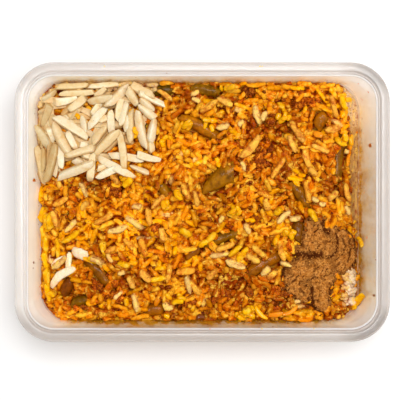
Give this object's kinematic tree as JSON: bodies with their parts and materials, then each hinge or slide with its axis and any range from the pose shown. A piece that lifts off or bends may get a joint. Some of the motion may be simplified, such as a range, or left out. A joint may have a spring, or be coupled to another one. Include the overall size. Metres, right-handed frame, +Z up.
{
  "type": "container of green bean rice",
  "caption": "Open rectangular translucent plastic takeaway container filled with spiced rice, cut green beans and mince, topped with slivered almonds and ground spice.",
  "frame": {"origin": "middle of the container's underside, on what it rests on", "axes": "+X along the container's length, +Y across it, +Z up; the almonds lie towards -X +Y and the spice towards +X -Y"},
  "size_m": [0.184, 0.137, 0.048],
  "materials": {
    "clear_plastic": "milky translucent moulded plastic",
    "rice": "moist orange and yellow long grains",
    "almond": "dry cream slivers",
    "spice": "dry matt brown powder",
    "bean": "soft olive cooked skin with a slight sheen",
    "mince": "fried red-brown crumbs"
  },
  "bodies": {
    "root": {"container": "clear_plastic", "rice": "rice", "almond_slivers": "almond", "ground_spice": "spice", "bean_01": "bean", "bean_02": "bean", "bean_03": "bean", "bean_04": "bean", "bean_05": "bean", "bean_06": "bean", "bean_07": "bean", "bean_08": "bean", "bean_09": "bean", "bean_10": "bean", "bean_11": "bean", "bean_12": "bean", "bean_13": "bean", "bean_14": "bean", "bean_15": "bean", "bean_16": "bean", "mince_01": "mince", "mince_02": "mince", "mince_03": "mince", "mince_04": "mince", "mince_05": "mince", "mince_06": "mince", "mince_07": "mince", "mince_08": "mince", "mince_09": "mince"}
  },
  "joints": []
}
